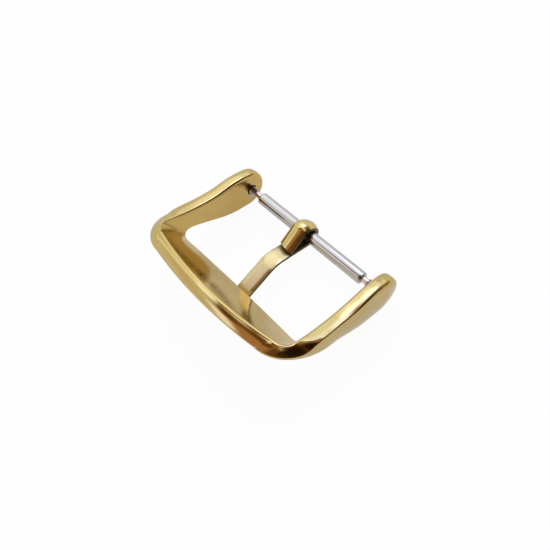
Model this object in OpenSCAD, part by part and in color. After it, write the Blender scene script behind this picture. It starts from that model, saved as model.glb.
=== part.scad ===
// Pin buckle for a watch strap: a polished frame bent round like a U, a crowned
// tongue folded round a spring bar, and the sprung bar itself, which snaps into
// two blind holes in the arms.
//
// Millimetres. The origin is the middle of the spring bar, X runs along the bar,
// -Y points to the crossbar and +Z to the wrist side. The buckle lies face down
// on the rounded ends of its arms and on the tip of its open tongue.

/* [Frame] */
// Clear width between the arms at the spring bar, the strap's own width
strap_w = 20; // [16:0.5:24]
// Extra clear width between the arms at the crossbar, both sides together
arm_spread = 0.4; // [0:0.1:1.2]
// Thickness of the arms from inner to outer face
arm_thick = 1.55; // [1.3:0.05:1.9]
// Extra thickness of the arms at their round ends
arm_swell = 0.25; // [0:0.05:0.4]
// Radius of the round end of each arm
arm_end_r = 2.46; // [2.2:0.02:2.6]
// Distance from the spring bar to that round's centre
end_back = 0.45; // [0.2:0.05:0.6]
// Distance from the spring bar to the narrowest place of the arms
waist_at = 7.4; // [6.8:0.1:8]
// Height of the arms above the bar's level at that place, on the wrist side
waist_up = 1.6; // [1.3:0.02:1.9]
// Depth of the arms below the bar's level at that place, on the display side
waist_down = 1.24; // [0.9:0.02:1.5]
// Distance from the spring bar to the crossbar's inner edge, on the display side
edge_at = 10.8; // [10.4:0.1:12]
// Depth of that inner edge below the bar's level
edge_down = 1.05; // [0.7:0.05:1.3]
// Distance from the spring bar to the rim's corners, on the wrist side
rim_at = 14.1; // [13.6:0.1:15.5]
// Height of the rim above the bar's level
rim_up = 2.15; // [1.8:0.05:2.5]
// How far the rim bows outward in the middle of the crossbar
rim_bow = 0.95; // [0:0.05:1.4]
// Thickness of the crossbar, square to its sloping face
bar_thick = 1.4; // [1.1:0.05:1.8]
// Width of the front band below the rim
band_w = 1.5; // [1.2:0.05:1.8]
// How far that inner edge bows towards the spring bar
edge_bow = 0.15; // [0:0.01:0.3]
// Radius of the opening's corners, on the display side
edge_corner_r = 1.5; // [0.8:0.1:2.5]
// Radius of the outer corners of the front
front_corner_r = 4; // [2.5:0.1:5]
// Rounding of the frame's long edges
edge_round = 0.3; // [0.15:0.01:0.4]
// Rounding of the arms' inner edge on the wrist side
arm_round = 0.45; // [0.3:0.05:0.6]
// Rounding of all edges at the arms' round ends, measured across the band
end_round = 0.68; // [0.5:0.02:0.9]
// How much further that rounding runs down the outer face
end_belly = 1.4; // [1:0.1:2]
// Crown of the band that runs along the arms and the rim, as a share of its width
band_crown = 0.045; // [0:0.005:0.06]
// Crown of the outer face, on the display side
face_crown = 0.2; // [0:0.01:0.3]

/* [Spring bar] */
// Outer diameter of the spring bar's tube
tube_d = 1.5; // [1.3:0.05:1.8]
// Wall of the tube
tube_wall = 0.2; // [0.15:0.01:0.25]
// Space between the tube's left end and the left arm
left_gap = 1.9; // [1.7:0.05:2.2]
// Space between the tube's right end and the right arm
right_gap = 1.55; // [1.5:0.05:1.9]
// Diameter of the plungers' tips, which sit in the arms
tip_d = 0.95; // [0.8:0.01:1]
// How far the tips reach into the arms
tip_in = 0.6; // [0.45:0.05:0.65]
// Clearance of the tips in the arms' holes, as a radius
hole_gap = 0.08; // [0.05:0.01:0.1]
// Countersink at the mouth of those holes
hole_mouth = 0.15; // [0.05:0.01:0.2]
// Diameter of the rings that a fitting tool catches
ring_d = 1.08; // [1.04:0.01:1.2]
// Number of those rings on each plunger
rings = 4; // [1:1:4]
// Diameter of the plungers' necks, which run through the tube's rolled ends
neck_d = 0.76; // [0.5:0.02:0.8]
// Clearance of the necks and the heads inside the tube, as a radius
run_gap = 0.05; // [0.03:0.01:0.08]
// Diameter of the spring's wire
wire_d = 0.18; // [0.14:0.01:0.2]

/* [Tongue] */
// Width of the tongue
tongue_w = 2.05; // [1.5:0.05:2.4]
// Thickness of the tongue at its edges
tongue_edge = 0.32; // [0.25:0.01:0.45]
// Rise of the tongue's crown above its edges
tongue_crown = 0.34; // [0.2:0.01:0.38]
// Where the tongue sits along the bar, left of the middle
tongue_left = 0.5; // [0:0.05:2]
// Radius inside the tongue's loop, under the bar
loop_r = 0.87; // [0.85:0.01:0.95]
// Length of the straight heel between the bar and the tongue's bend
heel_len = 4.35; // [3.9:0.05:4.8]
// Angle of the bend in the tongue
heel_bend = 34; // [28:1:38]
// Length of the straight leg after the bend
leg_len = 4.45; // [4.1:0.05:4.8]
// Upward curl of the tongue's last stretch
tip_curl = 28; // [26:1:34]

/* [Hidden] */
$fn = 64;

gold = "#d8b45a";
steel = "#c9c6c8";
spring_steel = "#8f9296";

// Frame rails: the four edges of the frame's section, each a run of points.
// A rail is [outer or inner, distance to the crossbar, bow in the middle,
// corner radius, heights along the arm, height at the crossbar].
slope = atan2(rim_up + edge_down, rim_at + rim_bow - edge_at);
face_out = bar_thick * sin(slope);
face_down = bar_thick * cos(slope);
band_out = band_w * cos(40);
band_down = band_w * sin(40);
front_at = rim_at + band_out + 0.46;
front_bow = rim_bow - 0.35;
rim_rise = 3.6;
foot_at = edge_at + face_out;
// A face narrower than this has less of its crown
crown_full = 3;
foot_corner_r = edge_corner_r + 2.2;
RIM = [0, rim_at, rim_bow, 1.3, [
    [end_back, arm_end_r],
    [1.4, arm_end_r + 0.04],
    [3, arm_end_r - 0.14],
    [5.2, waist_up + 0.24],
    [waist_at, waist_up],
    [rim_at - rim_rise, waist_up + 0.05],
    [rim_at, rim_up]
], rim_up];
FRONT = [1, front_at, front_bow, front_corner_r, [
    [end_back, arm_end_r],
    [1.4, arm_end_r + 0.02],
    [3, arm_end_r - 0.16],
    [5.2, waist_up + 0.14],
    [waist_at, waist_up - 0.05],
    [rim_at - rim_rise, waist_up - 0.1],
    [front_at - front_corner_r, rim_up - band_down]
], rim_up - band_down];
FOOT = [1, foot_at, 0, foot_corner_r, [
    [end_back, -arm_end_r],
    [1.5, -arm_end_r - 0.02],
    [3, -arm_end_r + 0.08],
    [5.2, -waist_down - 0.6],
    [foot_at - foot_corner_r, -waist_down]
], -edge_down - face_down];
EDGE = [0, edge_at, -edge_bow, edge_corner_r, [
    [end_back, -arm_end_r],
    [2.4, -arm_end_r - 0.06],
    [4.3, -arm_end_r + 0.2],
    [waist_at, -waist_down - 0.26],
    [edge_at - edge_corner_r, -edge_down - 0.12]
], -edge_down];
RAILS = [RIM, FRONT, FOOT, EDGE];

// Stations along half the frame, each [part, share of that part]
END = 0;
ARM = 1;
CORNER = 2;
CROSS = 3;
end_steps = 9;
arm_steps = 18;
corner_steps = 9;
cross_steps = 12;
STATIONS = concat(
    [for (i = [0 : end_steps - 1]) [END, i / end_steps]],
    [for (i = [0 : arm_steps - 1]) [ARM, i / arm_steps]],
    [for (i = [0 : corner_steps - 1]) [CORNER, i / corner_steps]],
    [for (i = [0 : cross_steps]) [CROSS, i / cross_steps]]
);

// Spring bar
tube_r = tube_d / 2;
bore_r = tube_r - tube_wall;
tube_left = -strap_w / 2 + left_gap;
tube_right = strap_w / 2 - right_gap;
crimp_len = 0.35;
mouth_round = 0.18;
tip_r = tip_d / 2;
head_r = bore_r - run_gap;
neck_r = min(neck_d / 2, head_r - 0.06);
mouth_r = neck_r + run_gap;
head_gap = 0.12;
head_len = 1;
ring_r = ring_d / 2;
ring_w = 0.115;
ring_start = 0.06;
ring_edge = 0.035;
groove_r = 0.44;
hole_r = tip_r + hole_gap;
hole_depth = tip_in + 0.25;

// Spring, a helix of straight stretches between the two heads
spring_r = bore_r - run_gap - wire_d / 2 - 0.02;
spring_from = tube_left + crimp_len + head_gap + head_len + 0.02;
spring_to = tube_right - crimp_len - head_gap - head_len - 0.02;
spring_len = spring_to - spring_from - wire_d;
coil_space = 0.43;
coils = floor(spring_len / (wire_d + coil_space));
coil_steps = 8;
wire_sides = 6;

// Tongue, all in the plane square to the bar
tongue_thick = tongue_edge + tongue_crown;
bend_step = 6;
loop_turn = 125;
shoulder_r = 1.6;
shoulder_turn = 35;
knuckle_r = 0.5;
knuckle_turn = 65.5;
fold_len = 2.85;
bend_r = 3.5;
tip_bend_r = 3.2;
tip_len = 1.3;
leg_start = [-heel_len - bend_r * sin(heel_bend), -loop_r - bend_r * (1 - cos(heel_bend))];
leg_end = leg_start - leg_len * [cos(heel_bend), sin(heel_bend)];
curl_centre = leg_end + tip_bend_r * [-sin(heel_bend), cos(heel_bend)];
// The buckle stands on a line that touches the arms' round ends and the tongue's curl
end_band = arm_thick_at(end_back) - 1.8 * end_round;
stand_r = arm_end_r + band_crown * end_band;
curl_from_end = curl_centre + [end_back, 0];
rest_tilt = atan2(-curl_from_end[1], -curl_from_end[0])
    - asin((stand_r - tip_bend_r - tongue_thick) / norm(curl_from_end));

// Height at distance s along a list of [distance, height], as a smooth curve
function slope_at(list, i) =
    (i == 0 || i == len(list) - 1) ? 0
    : (list[i + 1][1] - list[i - 1][1]) / (list[i + 1][0] - list[i - 1][0]);
function hermite(a, b, ma, mb, w, t) =
    a * (1 + 2 * t) * pow(1 - t, 2) + b * t * t * (3 - 2 * t)
    + w * (ma * t * pow(1 - t, 2) - mb * t * t * (1 - t));
function height(list, s, i = 0) =
    (i == len(list) - 2 || s <= list[i + 1][0])
    ? hermite(list[i][1], list[i + 1][1], slope_at(list, i), slope_at(list, i + 1),
        list[i + 1][0] - list[i][0], (s - list[i][0]) / (list[i + 1][0] - list[i][0]))
    : height(list, s, i + 1);
function mix(a, b, t) = a + (b - a) * t;
function end_angle(t) = mix(4, 90, t);
function ease(t) = t * t * (3 - 2 * t);
function arm_thick_at(s) = arm_thick + arm_swell * max(0, 1 - s / waist_at);
function half_width(rail, s) = strap_w / 2 + arm_spread / 2 * s / rim_at + rail[0] * arm_thick_at(s);

// A point of a rail on the right side of the frame
function rail_point(rail, station) =
    let (
        part = station[0],
        t = station[1],
        straight = rail[1] - rail[3],
        wide = half_width(rail, straight),
        sign = rail[4][0][1] > 0 ? 1 : -1,
        arm_z = height(rail[4], straight),
        s = mix(end_back, straight, t)
    )
    part == END
    ? let (a = end_angle(t))
        [half_width(rail, end_back), arm_end_r * cos(a) - end_back, sign * arm_end_r * sin(a)]
    : part == ARM
    ? [half_width(rail, s), -s, height(rail[4], s)]
    : part == CORNER
    ? [wide - rail[3] * (1 - cos(90 * t)), -straight - rail[3] * sin(90 * t), mix(arm_z, rail[5], ease(t))]
    : let (q = 1 - t) [(wide - rail[3]) * q, -rail[1] - rail[2] * (1 - q * q), rail[5]];

// How far the rim, front, foot and edge corners are rounded at a station
END_ROUNDS = end_round * [0.8, 1, 1, 0.8];
ARM_ROUNDS = [arm_round, edge_round, edge_round, edge_round];
BAR_ROUNDS = edge_round * [0.8, 1.1, 1, 1];
function rounds_at(station) =
    let (t = station[1])
    station[0] == END ? END_ROUNDS
    : station[0] == ARM ? mix(END_ROUNDS, ARM_ROUNDS, ease(min(1, t / 0.55)))
    : station[0] == CORNER ? mix(ARM_ROUNDS, BAR_ROUNDS, ease(t))
    : BAR_ROUNDS;

// The section at a station: four rounded corners, with crowns on both bands and the outer face
function unit(v) = v / norm(v);
function cut(p, q, size) = p + unit(q - p) * min(size, 0.4 * norm(q - p));
function rounding(p, u, v) =
    [for (t = [0, 0.25, 0.5, 0.75, 1]) u * pow(1 - t, 2) + p * 2 * t * (1 - t) + v * t * t];
function crown_points(p, q, out, rise) =
    [for (t = [0.25, 0.5, 0.75]) mix(p, q, t) + unit(out) * rise * 4 * t * (1 - t)];
function section(station) =
    let (
        p = [for (rail = RAILS) rail_point(rail, station)],
        r = rounds_at(station),
        rim = p[0],
        front = p[1],
        foot = p[2],
        edge = p[3],
        // At a round end the roundings run towards its centre
        at_end = station[0] == END,
        a = end_angle(station[1]),
        down = [0, -cos(a), -sin(a)],
        up = [0, -cos(a), sin(a)],
        rim_in = at_end ? rim + down * r[0] : cut(rim, edge, r[0]),
        front_out = at_end ? front + down * r[1] * end_belly : cut(front, foot, r[1] * end_belly),
        foot_out = at_end ? foot + up * r[2] * end_belly : cut(foot, front, r[2] * end_belly),
        edge_in = at_end ? edge + up * r[3] : cut(edge, rim, r[3]),
        rim_top = cut(rim, front, r[0]),
        front_top = cut(front, rim, r[1]),
        foot_low = cut(foot, edge, r[2]),
        edge_low = cut(edge, foot, r[3]),
        band_way = rim + front - foot - edge,
        face_way = front + foot - rim - edge,
        face_rise = face_crown * min(1, pow(norm(foot_out - front_out) / crown_full, 2))
    )
    concat(
        rounding(rim, rim_in, rim_top),
        crown_points(rim_top, front_top, band_way, band_crown * norm(front_top - rim_top)),
        rounding(front, front_top, front_out),
        crown_points(front_out, foot_out, face_way, face_rise),
        rounding(foot, foot_out, foot_low),
        crown_points(foot_low, edge_low, -band_way, band_crown * norm(edge_low - foot_low)),
        rounding(edge, edge_low, edge_in)
    );

// Triangles that join a run of rings, and the flat caps that close them
function side_faces(n, m) = concat(
    [for (i = [0 : n - 2], j = [0 : m - 1]) [i * m + j, i * m + (j + 1) % m, (i + 1) * m + j]],
    [for (i = [0 : n - 2], j = [0 : m - 1]) [i * m + (j + 1) % m, (i + 1) * m + (j + 1) % m, (i + 1) * m + j]]
);
function skin_faces(n, m) = concat(
    side_faces(n, m),
    [[for (j = [m - 1 : -1 : 0]) j]],
    [[for (j = [0 : m - 1]) (n - 1) * m + j]]
);

// Upright strips that close a ring with a like upper and lower half, and an odd count of points
function zip_faces(m) = [
    for (j = [0 : (m - 3) / 2])
        m - 2 - j == j + 1 ? [m - 1 - j, j + 1, j] : [m - 1 - j, m - 2 - j, j + 1, j]
];
function flipped(face) = [for (k = [len(face) - 1 : -1 : 0]) face[k]];
function shifted(face, by) = [for (k = face) k + by];

// Puts a piece into the pose in which the buckle lies
module lying() {
    rotate([-rest_tilt, 0, 0]) children();
}

// A cylinder along the bar, from one X to another
module along_bar(from, to, r1, r2) {
    translate([from, 0, 0]) rotate([0, 90, 0]) cylinder(h = to - from, r1 = r1, r2 = r2);
}

module frame_body() {
    last = len(STATIONS) - 1;
    half = [for (station = STATIONS) section(station)];
    rows = concat(half, [for (i = [last - 1 : -1 : 0]) [for (p = half[i]) [-p[0], p[1], p[2]]]]);
    m = len(half[0]);
    points = [for (row = rows, p = row) p];
    polyhedron(points, concat(
        side_faces(len(rows), m),
        zip_faces(m),
        [for (face = zip_faces(m)) shifted(flipped(face), (len(rows) - 1) * m)]
    ));
}

module buckle_frame() {
    color(gold) lying() difference() {
        frame_body();
        for (side = [-1, 1]) {
            scale([side, 1, 1]) {
                along_bar(strap_w / 2 - 0.5, strap_w / 2 + hole_depth, hole_r, hole_r);
                along_bar(strap_w / 2 - 0.1, strap_w / 2 + hole_mouth, hole_r + hole_mouth + 0.1, hole_r);
            }
        }
    }
}

// A tube with both ends rolled in, so that they hold the plungers' heads
module spring_bar_tube() {
    length = tube_right - tube_left;
    lip = [for (a = [0 : 15 : 90]) [tube_r - mouth_round * (1 - sin(a)), mouth_round * (1 - cos(a))]];
    outside = concat(lip, [for (i = [len(lip) - 1 : -1 : 0]) [lip[i][0], length - lip[i][1]]]);
    inside = [
        [mouth_r, length],
        [mouth_r, length - crimp_len],
        [bore_r, length - crimp_len],
        [bore_r, crimp_len],
        [mouth_r, crimp_len],
        [mouth_r, 0]
    ];
    color(steel) lying() translate([tube_left, 0, 0]) rotate([0, 90, 0])
        rotate_extrude() polygon(concat(outside, inside));
}

// A plunger's ring k and the groove before it, as [radius, distance from the arm]
function ring_outline(k) =
    let (at = ring_start + 2 * k * ring_w)
    concat(
        k == 0 ? [] : [[groove_r, at - ring_w], [groove_r, at]],
        [
            [ring_r - ring_edge, at],
            [ring_r, at + ring_edge],
            [ring_r, at + ring_w - ring_edge],
            [ring_r - ring_edge, at + ring_w]
        ]
    );

// A plunger along +Z, with the arm's inner face at the origin and the tube ahead
module plunger(gap) {
    head_from = gap + crimp_len + head_gap;
    ring_end = ring_start + (2 * rings - 1) * ring_w;
    rotate_extrude() polygon(concat(
        [[0, -tip_in], [tip_r - 0.12, -tip_in], [tip_r, -tip_in + 0.12], [tip_r, ring_start]],
        [for (k = [0 : rings - 1], p = ring_outline(k)) p],
        [[neck_r, ring_end], [neck_r, head_from]],
        [[head_r, head_from], [head_r, head_from + head_len], [0, head_from + head_len]]
    ));
}

module spring_bar_plunger_left() {
    color(steel) lying() translate([-strap_w / 2, 0, 0]) rotate([0, 90, 0]) plunger(left_gap);
}

module spring_bar_plunger_right() {
    color(steel) lying() translate([strap_w / 2, 0, 0]) rotate([0, -90, 0]) plunger(right_gap);
}

// The middle of the spring's wire at a step of the helix, and the ring round it
function coil_point(i) =
    let (a = 360 * i / coil_steps)
    [spring_from + wire_d / 2 + spring_len * i / (coils * coil_steps), spring_r * cos(a), spring_r * sin(a)];
function coil_ring(i) =
    let (
        a = 360 * i / coil_steps,
        out = [0, cos(a), sin(a)],
        along = unit([spring_len / coils / (2 * PI * spring_r), -sin(a), cos(a)]),
        across = cross(out, along)
    )
    [for (j = [0 : wire_sides - 1])
        coil_point(i) + wire_d / 2 * (cos(360 * j / wire_sides) * out + sin(360 * j / wire_sides) * across)];

// The least gap between the wire's stretches that lie half a coil or more apart
coil_gap = min([
    for (i = [0 : (coils - 2) * coil_steps], j = [coil_steps / 2 : coil_steps * 3 / 2])
        norm(coil_point(i + j) - coil_point(i)) - wire_d
]);
echo("least gap between the spring's coils, mm", coil_gap);

module spring_bar_spring() {
    rows = [for (i = [0 : coils * coil_steps]) coil_ring(i)];
    points = [for (row = rows, p = row) p];
    color(spring_steel) lying() polyhedron(points, skin_faces(len(rows), wire_sides));
}

// The tongue's path, as points [y, z, direction] on its flat face, run on from a
// first point. A step is [length] for a straight, or [radius, angle] for a bend;
// the angle is positive where the strip curls towards its flat side.
function turned(p, centre, a) =
    let (d = p - centre) centre + [d[0] * cos(a) - d[1] * sin(a), d[0] * sin(a) + d[1] * cos(a)];
function crown_way(a, hand) = hand * [-sin(a), cos(a)];
function bend_points(p, a, hand, radius, angle) =
    let (
        count = ceil(abs(angle) / bend_step),
        centre = p - sign(angle) * radius * crown_way(a, hand)
    )
    [for (k = [1 : count])
        let (t = -hand * angle * k / count, q = turned(p, centre, t)) [q[0], q[1], a + t]];
function walk(from, hand, steps, i = 0) =
    i == len(steps) ? []
    : let (
        p = [from[0], from[1]],
        a = from[2],
        step = steps[i],
        points = len(step) == 2
            ? bend_points(p, a, hand, step[0], step[1])
            : [[p[0] + step[0] * cos(a), p[1] + step[0] * sin(a), a]]
    )
    concat(points, walk(points[len(points) - 1], hand, steps, i + 1));

// The strip's section at a path point: flat inside, crowned outside, edges eased
function strip_ring(from, hand, half, crown) =
    let (
        out = crown_way(from[2], hand),
        ease_in = min(0.07, 0.3 * half),
        shape = concat(
            [[-half + ease_in, 0], [half - ease_in, 0], [half, ease_in], [half, tongue_edge - 0.05]],
            [for (u = [0.96, 0.8, 0.55, 0.28, 0, -0.28, -0.55, -0.8, -0.96])
                [u * half, tongue_edge + crown * (1 - u * u)]],
            [[-half, tongue_edge - 0.05], [-half, ease_in]]
        )
    )
    [for (q = shape) [q[0], from[0] + q[1] * out[0], from[1] + q[1] * out[1]]];

module tongue() {
    half = tongue_w / 2;
    start = [0, -loop_r, 180];
    // Heel, bend, leg, curl and the straight part of the tip
    out_run = walk(start, 1, [
        [heel_len],
        [bend_r, -heel_bend],
        [leg_len],
        [tip_bend_r, tip_curl],
        [tip_len - half]
    ]);
    // Back round the bar and down again to the cut end
    back_run = walk([0, -loop_r, 0], -1, [
        [loop_r, loop_turn],
        [shoulder_r, shoulder_turn],
        [0.5],
        [knuckle_r, knuckle_turn],
        [fold_len]
    ]);
    tip = out_run[len(out_run) - 1];
    rings = concat(
        [for (i = [len(back_run) - 1 : -1 : 0]) strip_ring(back_run[i], -1, half, tongue_crown)],
        [strip_ring(start, 1, half, tongue_crown)],
        [for (at = out_run) strip_ring(at, 1, half, tongue_crown)],
        [for (b = [15, 30, 45, 60, 72, 82])
            let (reach = half * sin(b), at = [tip[0] + reach * cos(tip[2]), tip[1] + reach * sin(tip[2]), tip[2]])
            strip_ring(at, 1, half * cos(b), tongue_crown * cos(b))]
    );
    points = [for (ring = rings, p = ring) p];
    color(gold) lying() translate([-tongue_left, 0, 0])
        polyhedron(points, skin_faces(len(rings), len(rings[0])));
}

buckle_frame();
tongue();
spring_bar_tube();
spring_bar_plunger_left();
spring_bar_plunger_right();
spring_bar_spring();
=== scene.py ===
"""Pin buckle for a watch strap, dressed over its fixed frame.

A gold-plated frame bent round like a U, a crowned tongue folded round a sprung steel bar, a
pale floor and a soft studio. Sizes in the classes are millimetres, with the buckle upright:
+X along the bar, -Y towards the crossbar, +Z on the wrist side.
"""
import logging
import math
from dataclasses import dataclass
from enum import Enum
from typing import Sequence

import bmesh
import bpy
from mathutils import Matrix, Vector


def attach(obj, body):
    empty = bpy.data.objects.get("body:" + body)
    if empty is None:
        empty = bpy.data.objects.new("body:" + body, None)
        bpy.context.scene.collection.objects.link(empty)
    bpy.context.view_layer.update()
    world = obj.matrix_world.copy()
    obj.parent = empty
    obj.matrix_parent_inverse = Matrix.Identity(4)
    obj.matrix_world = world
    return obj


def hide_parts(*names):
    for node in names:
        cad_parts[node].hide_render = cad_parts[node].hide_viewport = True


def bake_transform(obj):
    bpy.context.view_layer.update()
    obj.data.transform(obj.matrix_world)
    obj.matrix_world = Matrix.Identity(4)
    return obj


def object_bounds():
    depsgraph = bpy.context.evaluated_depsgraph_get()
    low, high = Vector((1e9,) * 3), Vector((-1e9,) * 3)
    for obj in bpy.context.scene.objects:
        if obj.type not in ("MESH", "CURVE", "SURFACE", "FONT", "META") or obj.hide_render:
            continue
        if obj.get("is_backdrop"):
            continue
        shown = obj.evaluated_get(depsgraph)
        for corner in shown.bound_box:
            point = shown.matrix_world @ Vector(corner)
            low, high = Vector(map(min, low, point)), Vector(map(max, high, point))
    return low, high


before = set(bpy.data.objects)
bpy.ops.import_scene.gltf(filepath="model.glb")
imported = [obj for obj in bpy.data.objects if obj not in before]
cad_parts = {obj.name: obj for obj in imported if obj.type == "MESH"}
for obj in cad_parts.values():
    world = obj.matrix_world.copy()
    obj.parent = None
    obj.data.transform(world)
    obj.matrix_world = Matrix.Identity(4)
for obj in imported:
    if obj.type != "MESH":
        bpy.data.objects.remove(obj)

LOG = logging.getLogger("buckle")
MM = 0.001
IN_MM = (1000, 1000, 1000)  # scale that turns a pattern's metres into millimetres
REST_TILT = 13.481299  # degrees that the buckle leans back when it lies on the floor
SHARP = math.radians(45)  # an edge that turns more than this is shaded sharp
WELD = 1e-7  # points nearer to each other than this, in metres, are one point
SLIVER = 1e-6  # faces thinner than this, in metres, are leavings of a bore

Tree = bpy.types.NodeTree
Socket = bpy.types.NodeSocket
Piece = bpy.types.Object
Colour = tuple[float, float, float, float]
Point = tuple[float, float, float]
Range = tuple[float, float]
Stop = tuple[float, float]  # distance from the bar, and height there
Stance = tuple[float, float, float]  # y, z and direction in degrees


def linear(code: str) -> Colour:
    """Turns an sRGB hex colour into linear light.

    Args:
        code: six hex digits, such as "d8b45a".

    Returns:
        Red, green, blue and an alpha of 1.
    """
    parts = [int(code[i:i + 2], 16) / 255 for i in (0, 2, 4)]
    red, green, blue = (c / 12.92 if c <= 0.04045 else ((c + 0.055) / 1.055) ** 2.4 for c in parts)
    return red, green, blue, 1.0


def add(tree: Tree, kind: str, sockets: dict[int | str, object] | None = None,
        **settings: object) -> bpy.types.Node:
    """Adds a node with its settings, values and links.

    Args:
        tree: the node tree that it goes into.
        kind: the node's type name, without "ShaderNode" in front.
        sockets: input name or index to a value, or to the node or output socket that feeds it.
        **settings: the node's own properties.

    Returns:
        The new node.
    """
    node = tree.nodes.new("ShaderNode" + kind)
    for name, value in settings.items():
        setattr(node, name, value)
    for name, value in (sockets or {}).items():
        feed = value.outputs[0] if isinstance(value, bpy.types.Node) else value
        if isinstance(feed, Socket):
            tree.links.new(feed, node.inputs[name])
        else:
            node.inputs[name].default_value = feed
    return node


def new_material(name: str) -> tuple[bpy.types.Material, Tree]:
    """Makes an empty node material and returns it with its node tree."""
    material = bpy.data.materials.new(name)
    material.use_nodes = True
    material.node_tree.nodes.clear()
    return material, material.node_tree


def put(name: str, data: bpy.types.ID) -> Piece:
    """Makes an object of the data, puts it into the scene and returns it."""
    piece = bpy.data.objects.new(name, data)
    bpy.context.scene.collection.objects.link(piece)
    return piece


def mix(a: float, b: float, t: float) -> float:
    """The value a share t of the way from a to b."""
    return a + (b - a) * t


def ease(t: float) -> float:
    """A share from 0 to 1 with a soft start and a soft end."""
    return t * t * (3 - 2 * t)


def curve_height(stops: Sequence[Stop], s: float) -> float:
    """Height at distance s along a list of stops, as a smooth curve.

    Args:
        stops: distances in rising order, each with its height.
        s: the distance.

    Returns:
        The height there.
    """
    last = len(stops) - 1
    i = next((k for k in range(last - 1) if s <= stops[k + 1][0]), last - 1)

    def slope(k: int) -> float:
        """The curve's slope at a stop, level at both ends."""
        if k in (0, last):
            return 0.0
        return (stops[k + 1][1] - stops[k - 1][1]) / (stops[k + 1][0] - stops[k - 1][0])

    (s0, a), (s1, b) = stops[i], stops[i + 1]
    width = s1 - s0
    t = (s - s0) / width
    return (a * (1 + 2 * t) * (1 - t) ** 2 + b * t * t * (3 - 2 * t)
            + width * (slope(i) * t * (1 - t) ** 2 - slope(i + 1) * t * t * (1 - t)))


def sweep(name: str, rings: Sequence[Sequence[Vector]], marks: dict[str, Sequence[Sequence[float]]],
          capped: bool = True) -> Piece:
    """Skins a run of rings into a closed piece that lies on the floor.

    Args:
        name: the piece's name.
        rings: the rings' points in millimetres, upright, all with the same count.
        marks: what the finish reads off each point, by name, from 0 to 1: "satin" for satin,
        one mark for painted shade, dull and dark, and "pale" for painted light, a paler plate.
        capped: whether the first and last ring are closed by a face; if not, they fold shut.

    Returns:
        The piece, with a UV map that runs along and round it in millimetres.
    """
    count, sides = len(rings), len(rings[0])
    lying = Matrix.Rotation(math.radians(-REST_TILT), 4, "X") @ Matrix.Scale(MM, 4)
    along = [0.0]
    for i in range(1, count):
        step = sum((rings[i][j] - rings[i - 1][j]).length for j in range(sides)) / sides
        along.append(along[-1] + step)
    around = [0.0]
    for j in range(sides):
        around.append(around[-1] + (rings[count // 2][(j + 1) % sides] - rings[count // 2][j]).length)
    mesh = bpy.data.meshes.new(name)
    faces = [(i * sides + j, i * sides + (j + 1) % sides,
              (i + 1) * sides + (j + 1) % sides, (i + 1) * sides + j)
             for i in range(count - 1) for j in range(sides)]
    if capped:
        faces.append(tuple(range(sides - 1, -1, -1)))
        faces.append(tuple((count - 1) * sides + j for j in range(sides)))
    mesh.from_pydata([lying @ p for ring in rings for p in ring], [], faces)
    for title, rows in marks.items():
        attribute = mesh.attributes.new(title, "FLOAT", "POINT")
        attribute.data.foreach_set("value", [value for row in rows for value in row])
    layer = mesh.uv_layers.new(name="along_and_round")
    for face in mesh.polygons[:(count - 1) * sides]:
        i, j = divmod(face.index, sides)
        corners = ((i, j), (i, j + 1), (i + 1, j + 1), (i + 1, j))
        for loop, (row, side) in zip(face.loop_indices, corners):
            layer.data[loop].uv = (along[row], around[side])
    mesh.validate()
    check = bmesh.new()
    check.from_mesh(mesh)
    bmesh.ops.remove_doubles(check, verts=check.verts, dist=WELD)
    bmesh.ops.recalc_face_normals(check, faces=check.faces)
    check.to_mesh(mesh)
    check.free()
    mesh.shade_smooth()
    mesh.set_sharp_from_angle(angle=SHARP)
    return put(name, mesh)


class Mark(Enum):
    """The painted dark marks that a steel piece can carry: none, a painted dark reflection along the tube
    with painted shade at its crimp, or painted shade in the grooves.
    """

    NONE = 0
    SEAM = 1
    GROOVES = 2


class Part(Enum):
    """The stretches of half the frame, from an arm's round end to the crossbar's middle."""

    END = 0
    ARM = 1
    CORNER = 2
    CROSS = 3


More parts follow.
